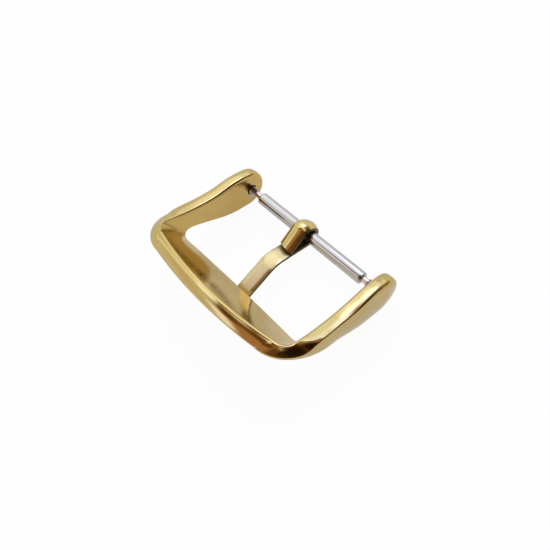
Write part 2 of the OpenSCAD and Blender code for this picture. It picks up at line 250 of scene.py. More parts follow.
@dataclass(frozen=True)
class GoldPlate:
    """Yellow gold plate on forged brass, polished outside and satin inside."""

    colour: str = "d3bc7a"
    inside: str = "dbba6e"  # the satin faces
    recess: str = "c09a4c"  # clouds of a browner cast
    rubbed_and_painted_light: str = "f6f0c4"  # painted light: paler, on points marked pale, so that the tongue's underside looks lit from below
    painted_dark_tone: str = "2a1c12"  # painted shade: dark, on points marked for it, in the tongue's fold, under its end and along its cut edge
    clouds_per_mm: float = 0.35
    cloud_range: Range = (0.35, 0.75)  # noise where clouds start and are full
    cloud_share: float = 0.3
    polish: float = 0.06
    smeared: float = 1.8  # how many times rougher the polish is where it is smeared
    smears_per_mm: float = 1.3
    smear_range: Range = (0.3, 0.75)
    satin: float = 0.2
    # how much rougher the points with painted shade are
    painted_shade_rough: float = 0.3
    wave_mm: float = 0.8  # polishing waves, about as long as a felt wheel's mark
    wave_depth_mm: float = 0.0007
    grain_mm: float = 0.12  # satin grain; the real one is finer, this is what still shows
    grain_depth_mm: float = 0.0008
    speck_mm: float = 0.16  # specks of wear, a little coarser than real ones, so that they show
    speck_range: Range = (0.6, 0.7)
    speck_rough: float = 0.16
    pit: float = -1.5  # a speck's height, as a share of the grain's depth
    front_y: float = -12.8  # from here forward there are hardly any specks
    arms_y: float = -10.5  # and from here back they are all there
    front_specks: float = 0.15

    def material(self, name: str) -> bpy.types.Material:
        """Builds the material.

        Args:
            name: the material's name.

        Returns:
            A mirror-like plate on the polished faces that turns satin on the inner ones, so that
            bands and rims carry crisp highlights and the inside shows broad soft ones.
        """
        material, tree = new_material(name)
        place = add(tree, "TexCoord").outputs["Object"]
        in_mm = add(tree, "Mapping", {"Vector": place, "Scale": IN_MM})
        satin, painted_shade, pale = (add(tree, "Attribute", attribute_name=mark).outputs["Fac"]
                              for mark in ("satin", "painted_shade", "pale"))
        patterns = ((self.clouds_per_mm, 3.0), (self.smears_per_mm, 4.0), (1 / self.speck_mm, 2.0),
                    (1 / self.wave_mm, 1.0), (1 / self.grain_mm, 1.0))
        cloud, smear, speck, wave, grain = (
            add(tree, "TexNoise", {"Vector": in_mm, "Scale": scale, "Detail": detail}).outputs["Fac"]
            for scale, detail in patterns)
        # Specks of wear lie on the arms, and hardly any on the front
        parts = add(tree, "SeparateXYZ", {0: place})
        worn = add(tree, "MapRange", {
            0: parts.outputs["Y"], 1: self.front_y * MM, 2: self.arms_y * MM, 3: self.front_specks, 4: 1.0})
        spotted = add(tree, "MapRange", {0: speck, 1: self.speck_range[0], 2: self.speck_range[1]})
        specks = add(tree, "Math", {0: spotted, 1: worn}, operation="MULTIPLY")
        # Faint brown clouds in the gold, with painted light where points are marked pale and painted shade
        # where they are marked dark
        tint = add(tree, "MapRange", {
            0: cloud, 1: self.cloud_range[0], 2: self.cloud_range[1], 3: 0.0, 4: self.cloud_share})
        colour: Socket | Colour = linear(self.colour)
        for share, tone in (
                (satin, self.inside), (tint, self.recess), (pale, self.rubbed_and_painted_light), (painted_shade, self.painted_dark_tone)):
            colour = add(tree, "Mix", {0: share, 6: colour, 7: linear(tone)}, data_type="RGBA").outputs[2]
        # Nearly a mirror with faint smears, rougher on satin faces, specks and painted shade
        rough = add(tree, "MapRange", {0: smear, 1: self.smear_range[0], 2: self.smear_range[1],
                                       3: self.polish, 4: self.polish * self.smeared})
        rougher = add(tree, "MapRange", {0: satin, 3: 0.0, 4: self.satin - self.polish})
        even = add(tree, "Math", {0: rough, 1: rougher}, operation="ADD")
        specked = add(tree, "Math", {0: specks, 1: self.speck_rough, 2: even}, operation="MULTIPLY_ADD")
        dulled = add(tree, "Math", {0: painted_shade, 1: self.painted_shade_rough, 2: specked}, operation="MULTIPLY_ADD")
        # Waves that bend the long highlights a little, with grain and pits over them
        waves = add(tree, "Bump", {"Height": wave, "Strength": 1.0, "Distance": self.wave_depth_mm * MM})
        grains = add(tree, "Math", {0: grain, 1: satin}, operation="MULTIPLY")
        pits = add(tree, "Math", {0: specks, 1: self.pit, 2: grains}, operation="MULTIPLY_ADD")
        bump = add(tree, "Bump", {
            "Height": pits, "Strength": 1.0, "Distance": self.grain_depth_mm * MM, "Normal": waves})
        shader = add(tree, "BsdfPrincipled", {
            "Base Color": colour, "Metallic": 1.0, "Roughness": dulled, "Normal": bump})
        add(tree, "OutputMaterial", {"Surface": shader})
        return material


@dataclass(frozen=True)
class DrilledBrass:
    """Bare brass in the two blind holes, dull, and painted dark for the shade inside them."""

    # painted shade: far darker than bare brass
    colour: str = "4a3620"
    rough: float = 0.45
    ring_mm: float = 0.06  # drill marks; real ones are finer, this is what still shows
    ring_depth_mm: float = 0.004
    band_mm: float = 0.3  # width of a wave texture's band at scale 1, nearly
    wobble: float = 1.5

    def material(self, name: str) -> bpy.types.Material:
        """Builds the material.

        Args:
            name: the material's name.

        Returns:
            Dull brass, painted dark for the shade in the hole, with fine rings round it, so that the hole
            reads as a hole.
        """
        material, tree = new_material(name)
        place = add(tree, "TexCoord").outputs["Object"]
        along = add(tree, "Mapping", {"Vector": place, "Scale": (IN_MM[0], 0, 0)})
        rings = add(tree, "TexWave", {"Vector": along, "Scale": self.band_mm / self.ring_mm,
                                      "Distortion": self.wobble}, bands_direction="X").outputs["Fac"]
        bump = add(tree, "Bump", {"Height": rings, "Strength": 1.0, "Distance": self.ring_depth_mm * MM})
        shader = add(tree, "BsdfPrincipled", {
            "Base Color": linear(self.colour), "Metallic": 1.0, "Roughness": self.rough, "Normal": bump})
        add(tree, "OutputMaterial", {"Surface": shader})
        return material


@dataclass(frozen=True)
class DrawnSteel:
    """Stainless or spring steel, drawn or turned bright."""

    colour: str = "c9c5bb"
    polish: float = 0.16
    smooth: float = 0.8  # how rough the smoothest line is, in polishes
    coarse: float = 1.5  # and the roughest
    line_mm: float = 0.05  # drawing lines; real ones are finer, this is what still shows
    line_depth_mm: float = 0.0004
    line_squeeze: float = 0.03  # lines are about 30 times longer than wide
    line_range: Range = (0.3, 0.7)
    mark: Mark = Mark.NONE
    # painted dark tone: the painted reflection line, the crimp's painted shade and the grooves' painted shade
    painted_dark_tone: str = "2a2524"
    painted_line_mm: float = 0.07  # half the painted dark line's width
    painted_line_across: Point = (0, 0.563, 0.827)  # the way across the painted line
    painted_line_side: Point = (0, -0.827, 0.563)  # from the bar's axis to the painted line
    painted_line_out: float = 0.5
    painted_line_full: float = -4.2  # the painted line is full up to here along the bar
    painted_line_gone: float = -3.1  # and gone from here on
    crimp_at: Point = (8.3, -0.36, 0.63)
    crimp_mm: float = 0.36  # how far the painted shade round the crimp reaches
    crimp_dark: float = 0.85
    ring_r: float = 0.5
    groove_r: float = 0.455
    # how dark the painted shade in the grooves is
    groove_dark: float = 0.7
    neck_r: float = 0.41  # nearer to the axis than this it is the neck, which is bright

    def tube_painted_dark_mask(self, tree: Tree, place: Socket) -> bpy.types.Node:
        """Marks a painted dark reflection, a thin line along the tube that fades out towards the middle, and
        painted shade round its crimp.

        Args:
            tree: the material's node tree.
            place: the object's coordinates, in metres.

        Returns:
            A node that gives a share from 0 to 1.
        """
        # A painted dark reflection: a thin line on one side of the tube
        aside, facing = (add(tree, "VectorMath", {0: place, 1: [part / MM for part in way]},
                             operation="DOT_PRODUCT").outputs["Value"]
                         for way in (self.painted_line_across, self.painted_line_side))
        off = add(tree, "Math", {0: aside}, operation="ABSOLUTE")
        thin = add(tree, "MapRange", {0: off, 1: self.painted_line_mm, 2: self.painted_line_mm / 2})
        side = add(tree, "Math", {0: facing, 1: self.painted_line_out}, operation="GREATER_THAN")
        along = add(tree, "SeparateXYZ", {0: place})
        ends = add(tree, "MapRange", {
            0: along.outputs["X"], 1: self.painted_line_gone * MM, 2: self.painted_line_full * MM})
        line = add(tree, "Math", {0: thin, 1: side}, operation="MULTIPLY")
        painted_line = add(tree, "Math", {0: line, 1: ends}, operation="MULTIPLY")
        # Painted shade round the crimp
        away = add(tree, "VectorMath", {0: place, 1: [part * MM for part in self.crimp_at]},
                   operation="DISTANCE").outputs["Value"]
        crimp = add(tree, "MapRange", {
            0: away, 1: self.crimp_mm * MM, 2: self.crimp_mm * MM / 3, 3: 0.0, 4: self.crimp_dark})
        return add(tree, "Math", {0: painted_line, 1: crimp}, operation="MAXIMUM")

    def groove_mask(self, tree: Tree, place: Socket) -> bpy.types.Node:
        """Marks the grooves between the rings with painted shade.

        Args:
            tree: the material's node tree.
            place: the object's coordinates, in metres.

        Returns:
            A node that gives a share from 0 to 1.
        """
        across = add(tree, "VectorMath", {0: place, 1: (0, *IN_MM[1:])}, operation="MULTIPLY")
        far = add(tree, "VectorMath", {0: across}, operation="LENGTH").outputs["Value"]
        deep = add(tree, "MapRange", {0: far, 1: self.ring_r, 2: self.groove_r, 3: 0.0, 4: self.groove_dark})
        neck = add(tree, "Math", {0: far, 1: self.neck_r}, operation="GREATER_THAN")
        return add(tree, "Math", {0: deep, 1: neck}, operation="MULTIPLY")

    def material(self, name: str) -> bpy.types.Material:
        """Builds the material.

        Args:
            name: the material's name.

        Returns:
            Bright grey steel with faint lines along the bar, and the painted dark marks asked for:
            a painted dark reflection and shade on the tube, painted shade between the plungers' rings.
        """
        material, tree = new_material(name)
        place = add(tree, "TexCoord").outputs["Object"]
        along = add(tree, "Mapping", {"Vector": place, "Scale": (IN_MM[0] * self.line_squeeze, *IN_MM[1:])})
        lines = add(tree, "TexNoise", {"Vector": along, "Scale": 0.5 / self.line_mm,
                                       "Detail": 3.0}).outputs["Fac"]
        rough = add(tree, "MapRange", {0: lines, 1: self.line_range[0], 2: self.line_range[1],
                                       3: self.polish * self.smooth, 4: self.polish * self.coarse})
        bump = add(tree, "Bump", {"Height": lines, "Strength": 1.0, "Distance": self.line_depth_mm * MM})
        shader = add(tree, "BsdfPrincipled", {
            "Base Color": linear(self.colour), "Metallic": 1.0, "Roughness": rough, "Normal": bump})
        if self.mark is not Mark.NONE:
            mask = self.tube_painted_dark_mask if self.mark is Mark.SEAM else self.groove_mask
            colour = add(tree, "Mix", {
                0: mask(tree, place), 6: linear(self.colour), 7: linear(self.painted_dark_tone)}, data_type="RGBA")
            tree.links.new(colour.outputs[2], shader.inputs["Base Color"])
        add(tree, "OutputMaterial", {"Surface": shader})
        return material


@dataclass(frozen=True)
class Rail:
    """One long edge of the frame, from an arm's round end round to the crossbar's middle."""

    outer: int  # 1 for an edge on the frame's outer side, 0 for one on the inner side
    far: float  # how far from the bar it crosses over
    bow: float  # how much farther it is in the middle
    corner: float  # radius of its corner between arm and crossbar
    heights: tuple[Stop, ...]  # its height along the arm
    cross_z: float  # its height along the crossbar


@dataclass
class BuckleFrame:
    """The frame: two arms with round ends and a sloping crossbar, one polished skin."""

    strap_w: float = 20  # the clear gap between the arms at the bar
    arm_spread: float = 0.4  # how much wider it is at the rim
    arm_thick: float = 1.55
    arm_swell: float = 0.25  # how much thicker the arms are at the bar
    arm_end_r: float = 2.46
    end_back: float = 0.45  # how far before the bar the round ends' centre lies
    waist_at: float = 7.4  # where the arms are lowest
    waist_up: float = 1.6
    waist_down: float = 1.24
    edge_at: float = 10.8  # the crossbar's lower inner edge
    edge_down: float = 1.05
    edge_bow: float = 0.15
    edge_corner_r: float = 1.5
    rim_at: float = 14.1  # its upper inner edge
    rim_up: float = 2.15
    rim_bow: float = 0.95
    rim_corner_r: float = 1.3
    rim_rise: float = 3.6  # how far before the rim the arms start to rise
    bar_thick: float = 1.4
    band_w: float = 1.5  # its upper band
    band_slope: float = 40
    front_lip: float = 0.46  # how far beyond the band the front edge lies
    front_flat: float = 0.35  # how much less the front bows than the rim
    front_corner_r: float = 4
    foot_swell: float = 2.2  # how much wider the foot's corner is than the lower edge's
    edge_round: float = 0.3
    arm_round: float = 0.45
    end_round: float = 0.68
    inner_tight: float = 0.8  # how much tighter the inner edges are rounded
    front_soft: float = 1.1
    round_fade: float = 0.55  # the share of the arm over which its end's roundings narrow
    round_most: float = 0.4  # the share of a face that one rounding can take
    round_steps: int = 8
    belly: float = 1.4  # how much farther the roundings reach down the outer face
    band_crown: float = 0.045  # share of the band's width
    face_crown: float = 0.2
    crown_full: float = 3  # how tall the outer face is where its crown is full
    crown_steps: int = 10
    cross_satin: float = 0.3  # how satin the crossbar's inner face is, against the arms'
    stations: tuple[int, ...] = (22, 70, 40, 36)  # how many rings each part has
    hole_r: float = 0.555
    hole_depth: float = 0.85
    hole_mouth: float = 0.15  # the countersink
    drill_lead: float = 0.5  # how far before the arm's face the drill starts
    sink_lead: float = 0.1
    sink_tip: float = 0.05  # how far the countersink ends inside the hole's wall
    hole_sides: int = 64

    def __post_init__(self) -> None:
        """Works out the four rails: rim, front, foot and lower edge."""
        slope = math.atan2(self.rim_up + self.edge_down, self.rim_at + self.rim_bow - self.edge_at)
        face_out, face_down = self.bar_thick * math.sin(slope), self.bar_thick * math.cos(slope)
        tilt = math.radians(self.band_slope)
        band_out, band_down = self.band_w * math.cos(tilt), self.band_w * math.sin(tilt)
        front_at = self.rim_at + band_out + self.front_lip
        foot_at = self.edge_at + face_out
        foot_r = self.edge_corner_r + self.foot_swell
        end, back, up, down = self.arm_end_r, self.end_back, self.waist_up, self.waist_down
        rise_at = self.rim_at - self.rim_rise
        # The heights between an arm's end and its waist follow the outline in the photo
        self.rails = (
            Rail(0, self.rim_at, self.rim_bow, self.rim_corner_r,
                 ((back, end), (1.4, end + 0.04), (3, end - 0.14), (5.2, up + 0.24), (self.waist_at, up),
                  (rise_at, up + 0.05), (self.rim_at, self.rim_up)), self.rim_up),
            Rail(1, front_at, self.rim_bow - self.front_flat, self.front_corner_r,
                 ((back, end), (1.4, end + 0.02), (3, end - 0.16), (5.2, up + 0.14),
                  (self.waist_at, up - 0.05), (rise_at, up - 0.1),
                  (front_at - self.front_corner_r, self.rim_up - band_down)), self.rim_up - band_down),
            Rail(1, foot_at, 0, foot_r,
                 ((back, -end), (1.5, -end - 0.02), (3, -end + 0.08), (5.2, -down - 0.6),
                  (foot_at - foot_r, -down)), -self.edge_down - face_down),
            Rail(0, self.edge_at, -self.edge_bow, self.edge_corner_r,
                 ((back, -end), (2.4, -end - 0.06), (4.3, -end + 0.2), (self.waist_at, -down - 0.26),
                  (self.edge_at - self.edge_corner_r, -self.edge_down - 0.12)), -self.edge_down),
        )

    def half_width(self, rail: Rail, s: float) -> float:
        """Distance of a rail from the middle plane at distance s from the bar."""
        thick = self.arm_thick + self.arm_swell * max(0.0, 1 - s / self.waist_at)
        return self.strap_w / 2 + self.arm_spread / 2 * s / self.rim_at + rail.outer * thick

    def rail_point(self, rail: Rail, part: Part, t: float) -> Vector:
        """A point of a rail on the right side of the frame.

        Args:
            rail: one of the four rails.
            part: the stretch of the frame.
            t: the share of that stretch.

        Returns:
            The point, upright, in millimetres.
        """
        straight = rail.far - rail.corner
        wide = self.half_width(rail, straight)
        if part is Part.END:
            sign = 1 if rail.heights[0][1] > 0 else -1
            a = math.radians(90 * t)
            return Vector((self.half_width(rail, self.end_back), self.arm_end_r * math.cos(a) - self.end_back,
                           sign * self.arm_end_r * math.sin(a)))
        if part is Part.ARM:
            s = mix(self.end_back, straight, t)
            return Vector((self.half_width(rail, s), -s, curve_height(rail.heights, s)))
        if part is Part.CORNER:
            a = math.radians(90 * t)
            z = mix(curve_height(rail.heights, straight), rail.cross_z, ease(t))
            return Vector((wide - rail.corner * (1 - math.cos(a)), -straight - rail.corner * math.sin(a), z))
        q = 1 - t
        return Vector(((wide - rail.corner) * q, -rail.far - rail.bow * (1 - q * q), rail.cross_z))

    def rounding_at(self, part: Part, t: float) -> tuple[float, ...]:
        """How far the rim, front, foot and edge corners are rounded at a station.

        Args:
            part: the stretch of the frame.
            t: the share of that stretch.

        Returns:
            The four roundings, in millimetres along the faces.
        """
        big, small = self.end_round, self.edge_round
        end = (big * self.inner_tight, big, big, big * self.inner_tight)
        arm = (self.arm_round, small, small, small)
        cross = (small * self.inner_tight, small * self.front_soft, small, small)
        if part is Part.END:
            return end
        if part is Part.ARM:
            return tuple(mix(a, b, ease(min(1.0, t / self.round_fade))) for a, b in zip(end, arm))
        if part is Part.CORNER:
            return tuple(mix(a, b, ease(t)) for a, b in zip(arm, cross))
        return cross

    def section(self, part: Part, t: float) -> tuple[list[Vector], list[float]]:
        """The frame's section: four corners rounded, and three faces crowned.

        Args:
            part: the stretch of the frame.
            t: the share of that stretch.

        Returns:
            The ring's points, and how satin each one is.
        """
        rim, front, foot, edge = (self.rail_point(rail, part, t) for rail in self.rails)
        rounds = self.rounding_at(part, t)
        if part is Part.END:
            a = math.radians(90 * t)
            down, up = Vector((0, -math.cos(a), -math.sin(a))), Vector((0, -math.cos(a), math.sin(a)))
            inner_down, outer_down, outer_up, inner_up = down, down, up, up
        else:
            inner_down, outer_down = (edge - rim).normalized(), (foot - front).normalized()
            outer_up, inner_up = -outer_down, -inner_down
        steps, crests = self.round_steps, self.crown_steps

        def rounding(p: Vector, u: Vector, v: Vector) -> list[Vector]:
            """The rounded corner at p, from point u on one face to point v on the next."""
            return [u * (1 - k / steps) ** 2 + p * 2 * (k / steps) * (1 - k / steps) + v * (k / steps) ** 2
                    for k in range(steps + 1)]

        def across(p: Vector, q: Vector, size: float) -> Vector:
            """Where the rounding of corner p starts on the side towards q."""
            return p + (q - p).normalized() * min(size, self.round_most * (q - p).length)

        def crowned(p: Vector, q: Vector, out: Vector, rise: float) -> list[Vector]:
            """The crowned face between points p and q."""
            return [p.lerp(q, k / crests) + out * rise * 4 * (k / crests) * (1 - k / crests)
                    for k in range(1, crests)]

        def face_cut(p: Vector, q: Vector, way: Vector, size: float) -> Vector:
            """Where the rounding of corner p ends on the tall face towards q."""
            room = size if part is Part.END else min(size, self.round_most * (q - p).length)
            return p + way * room

        rim_in, rim_top = face_cut(rim, edge, inner_down, rounds[0]), across(rim, front, rounds[0])
        front_top = across(front, rim, rounds[1])
        front_out = face_cut(front, foot, outer_down, rounds[1] * self.belly)
        foot_out = face_cut(foot, front, outer_up, rounds[2] * self.belly)
        foot_low = across(foot, edge, rounds[2])
        edge_low, edge_in = across(edge, foot, rounds[3]), face_cut(edge, rim, inner_up, rounds[3])
        band_up = ((rim + front) - (foot + edge)).normalized()
        face_way = ((front + foot) - (rim + edge)).normalized()
        top, low = (self.band_crown * (b - a).length
                    for a, b in ((rim_top, front_top), (foot_low, edge_low)))
        tall = self.face_crown * min(1.0, ((foot_out - front_out).length / self.crown_full) ** 2)
        points = (rounding(rim, rim_in, rim_top) + crowned(rim_top, front_top, band_up, top)
                  + rounding(front, front_top, front_out) + crowned(front_out, foot_out, face_way, tall)
                  + rounding(foot, foot_out, foot_low) + crowned(foot_low, edge_low, -band_up, low)
                  + rounding(edge, edge_low, edge_in))
        share = mix(1.0, self.cross_satin, {Part.CORNER: ease(t), Part.CROSS: 1.0}.get(part, 0.0))
        half = steps / 2
        satin = [max(0.0, 1 - k / half) * share for k in range(steps + 1)]
        satin += [0.0] * (len(points) - 2 * (steps + 1))
        satin += [max(0.0, (k - half) / half) * share for k in range(steps + 1)]
        return points, satin

    def bore(self, piece: Piece) -> None:
        """Bores and countersinks the two blind holes and clears the slivers that this leaves.

        Args:
            piece: the frame's skin, with the bare brass as its second material.
        """
        face, mouth, hole_r = self.strap_w / 2, self.hole_mouth, self.hole_r
        sink_r = hole_r + mouth + self.sink_lead
        for title, first, last, near_r, far_r in (
                ("hole_drill", -self.drill_lead, self.hole_depth, hole_r, hole_r),
                ("hole_countersink", -self.sink_lead, mouth + self.sink_tip, sink_r, hole_r - self.sink_tip)):
            shape = bmesh.new()
            for side in (-1, 1):
                at = Matrix.Translation(((face + (first + last) / 2) * MM * side, 0, 0))
                bmesh.ops.create_cone(shape, cap_ends=True, segments=self.hole_sides,
                                      radius1=near_r * MM, radius2=far_r * MM, depth=(last - first) * MM,
                                      matrix=at @ Matrix.Rotation(math.radians(90 * side), 4, "Y"))
            bit = bpy.data.meshes.new(title)
            shape.to_mesh(bit)
            shape.free()
            bit.materials.append(piece.data.materials[1])
            tool = put(title, bit)
            cut = piece.modifiers.new(title, "BOOLEAN")
            cut.operation, cut.object, cut.solver = "DIFFERENCE", tool, "EXACT"
            cut.material_mode = "TRANSFER"
            graph = bpy.context.evaluated_depsgraph_get()
            drilled = bpy.data.meshes.new_from_object(piece.evaluated_get(graph))
            piece.modifiers.clear()
            piece.data = drilled
            bpy.data.objects.remove(tool)
        clean = bmesh.new()
        clean.from_mesh(piece.data)
        bmesh.ops.remove_doubles(clean, verts=clean.verts, dist=SLIVER)
        bmesh.ops.dissolve_degenerate(clean, dist=SLIVER, edges=clean.edges)
        clean.to_mesh(piece.data)
        clean.free()
        piece.data.set_sharp_from_angle(angle=SHARP)

    def build(self) -> Piece:
        """Builds the frame's skin, plates it and bores the two blind holes.

        Returns:
            The frame as one piece.
        """
        stops = [(part, k / count) for part, count in zip(Part, self.stations) for k in range(count)]
        half = [self.section(part, t) for part, t in stops + [(Part.CROSS, 1.0)]]
        other = [([Vector((-p.x, p.y, p.z)) for p in ring], satin) for ring, satin in half[-2::-1]]
        rows = half + other
        piece = sweep("frame_skin", [row[0] for row in rows], {"satin": [row[1] for row in rows]},
                      capped=False)
        piece.data.materials.append(GoldPlate().material("gold_plate_polished"))
        piece.data.materials.append(DrilledBrass().material("brass_bore_painted_shade"))
        self.bore(piece)
        return piece

    def dress(self, piece: Piece) -> None:
        """Puts the frame in place of its solid.

        Args:
            piece: the frame.
        """
        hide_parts("buckle_frame")
        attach(piece, "frame")


@dataclass
class Tongue:
    """The tongue: one strip, flat inside and crowned outside, folded round the bar.

    A ring has 5 points across its flat face, 3 up its right edge, 17 over its crown and 3 down its
    left edge, and each row of marks follows them.
    """

    width: float = 2.05
    edge: float = 0.32  # thickness of the strip at its edges
    crown: float = 0.34  # how much thicker it is in the middle
    soft: float = 0.07  # how far the flat face's edges are softened
    shoulder: float = 0.05  # how far below the crown the edges end
    crown_reach: float = 0.98  # share of the width that the crown takes
    left: float = 0.5  # how far left of the middle the tongue lies
    loop_r: float = 0.87
    loop_turn: float = 125
    heel_len: float = 4.35
    heel_bend: float = 34
    bend_r: float = 3.5
    leg_len: float = 4.45
    tip_bend_r: float = 3.2
    tip_curl: float = 28
    tip_len: float = 1.3
    shoulder_r: float = 1.6
    shoulder_turn: float = 35
    back_len: float = 0.5
    knuckle_r: float = 0.5
    knuckle_turn: float = 65.5
    fold_len: float = 2.85
    fold_skew: float = 0.32  # how much shorter the fold is along its left edge
    fold_narrow: float = 0.97
    skew_rings: int = 3  # how many rings the fold's slanting end takes
    shade_from: float = 4.2  # where the painted shade under the fold ends, from the bar
    shade_len: float = 1.2
    shade_dark: float = 0.8
    step_mm: float = 0.35  # spacing of the rings along a straight
    step_deg: float = 2.5  # and round a bend
    tip_step: int = 8

    def walk(self, start: Stance, hand: int, steps: Sequence[tuple[float, ...]]) -> list[Stance]:
        """Runs the strip's flat face on from a point.

        Args:
            start: where it starts.
            hand: 1 where the crown lies left of the direction, -1 where it lies right.
            steps: (length,) for a straight, (radius, angle) for a bend.

        Returns:
            The points that follow.
        """
        points, at = [], start
        for step in steps:
            y, z, a = at
            turn = math.radians(a)
            if len(step) == 1:
                count = max(2, round(step[0] / self.step_mm))
                run = [(y + step[0] * k / count * math.cos(turn), z + step[0] * k / count * math.sin(turn), a)
                       for k in range(1, count + 1)]
            else:
                radius, angle = step
                side = hand * (1 if angle > 0 else -1) * radius
                cy, cz = y + side * math.sin(turn), z - side * math.cos(turn)
                count = math.ceil(abs(angle) / self.step_deg)
                run = []
                for k in range(1, count + 1):
                    t = -hand * angle * k / count
                    c, s = math.cos(math.radians(t)), math.sin(math.radians(t))
                    run.append((cy + (y - cy) * c - (z - cz) * s, cz + (y - cy) * s + (z - cz) * c, a + t))
            points += run
            at = points[-1]
        return points

    def ring(self, at: Stance, hand: int, half: float, crown: float, skew: float = 0.0) -> list[Vector]:
        """The strip's section at a point of its path, flat inside and crowned outside.

        Args:
            at: the point.
            hand: 1 where the crown lies left of the direction, -1 where it lies right.
            half: half the strip's width.
            crown: height of the crown.
            skew: how far the left edge stays behind.

        Returns:
            The ring's points, upright, in millimetres.
        """
        a = math.radians(at[2])
        out = (-hand * math.sin(a), hand * math.cos(a))
        soft, side = min(self.soft, 0.3 * half), self.edge - self.shoulder
        shape = [(-half + soft, 0.0), (-half / 2, 0.0), (0.0, 0.0), (half / 2, 0.0), (half - soft, 0.0)]
        shape += [(half - soft * 0.3, soft * 0.3), (half, soft), (half, side)]
        shares = [self.crown_reach * math.cos(math.pi * k / 16) for k in range(17)]
        shape += [(u * half, self.edge + crown * (1 - u * u)) for u in shares]
        shape += [(-half, side), (-half, soft), (-half + soft * 0.3, soft * 0.3)]
        back = [skew * (1 - x / half) / 2 for x, _ in shape]
        return [Vector((x - self.left, at[0] + h * out[0] - b * math.cos(a),
                        at[1] + h * out[1] - b * math.sin(a))) for (x, h), b in zip(shape, back)]

    def marks(self, folded: int, open_run: int, path: Sequence[Stance]) -> dict[str, list[list[float]]]:
        """Marks the points: satin where it is rubbed, painted shade in the fold, under its end and along the
        cut edge, and painted light on the crown.

        Args:
            folded: how many rings lie in the fold and loop.
            open_run: how many lie in the heel, leg and tip.
            path: the points of the open run.

        Returns:
            For each mark, one row a ring.
        """
        plain = [0.0] * 28
        rubbed_and_painted_light = [0.8] * 5 + [0.3] * 3 + [0.0] * 17 + [0.3] * 3
        # Painted light on the crown, the tongue's underside
        pale = [0.0] * 5 + [0.0, 0.0, 1.0] + [1.0] * 17 + [1.0, 0.0, 0.0]
        # Painted shade in the fold and the loop
        fold_shade = [0.9] * 5 + [0.2, 0.8, 0.9] + [0.9, 0.4] + [0.0] * 15 + [0.3] * 3
        # Painted shade along the right cut edge
        edge_shade = [0.0, 0.0, 0.0, 0.0, 0.1] + [0.6, 0.9, 0.9] + [0.7, 0.3] + [0.0] * 15 + [0.1] * 3
        painted_shade = [fold_shade] * folded + [edge_shade] * open_run
        # Painted shade on the flat face, under the fold's end
        for row, point in enumerate(path):
            share = self.shade_dark * ease(min(1.0, max(0.0, (point[0] + self.shade_from) / self.shade_len)))
            painted_shade[folded + row] = [max(side, share if i < 5 else 0.0) for i, side in enumerate(edge_shade)]
        return {"satin": [plain] * folded + [rubbed_and_painted_light] * open_run, "painted_shade": painted_shade,
                "pale": [plain] * folded + [pale] * open_run}

    def build(self) -> Piece:
        """Builds the tongue from its folded end, round the bar and out to the round tip.

        Returns:
            The tongue as one piece.
        """
        half = self.width / 2
        start = (0.0, -self.loop_r, 180.0)
        path = [start] + self.walk(start, 1, [
            (self.heel_len,), (self.bend_r, -self.heel_bend), (self.leg_len,),
            (self.tip_bend_r, self.tip_curl), (self.tip_len - half,)])
        back_run = self.walk((0.0, -self.loop_r, 0.0), -1, [
            (self.loop_r, self.loop_turn), (self.shoulder_r, self.shoulder_turn), (self.back_len,),
            (self.knuckle_r, self.knuckle_turn), (self.fold_len,)])
        rings = [self.ring(at, -1, half * self.fold_narrow, self.crown,
                           self.fold_skew * max(0.0, 1 - i / self.skew_rings))
                 for i, at in enumerate(reversed(back_run))]
        rings += [self.ring(at, 1, half, self.crown) for at in path]
        y, z, a = path[-1]
        turn = math.radians(a)
        for b in (math.radians(k) for k in range(self.tip_step, 90, self.tip_step)):
            reach = half * math.sin(b)
            at = (y + reach * math.cos(turn), z + reach * math.sin(turn), a)
            rings.append(self.ring(at, 1, half * math.cos(b), self.crown * math.cos(b)))
        folded = len(back_run)
        return sweep("tongue_strip", rings, self.marks(folded, len(rings) - folded, path))

    def dress(self, piece: Piece) -> None:
        """Plates the tongue and puts it in place of its solid.

        Args:
            piece: the tongue.
        """
        plate = GoldPlate(colour="dfcc86", inside="dcc898", satin=0.22, grain_depth_mm=0.0003)
        piece.data.materials.append(plate.material("gold_plate_strip"))
        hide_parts("tongue")
        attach(piece, "tongue")


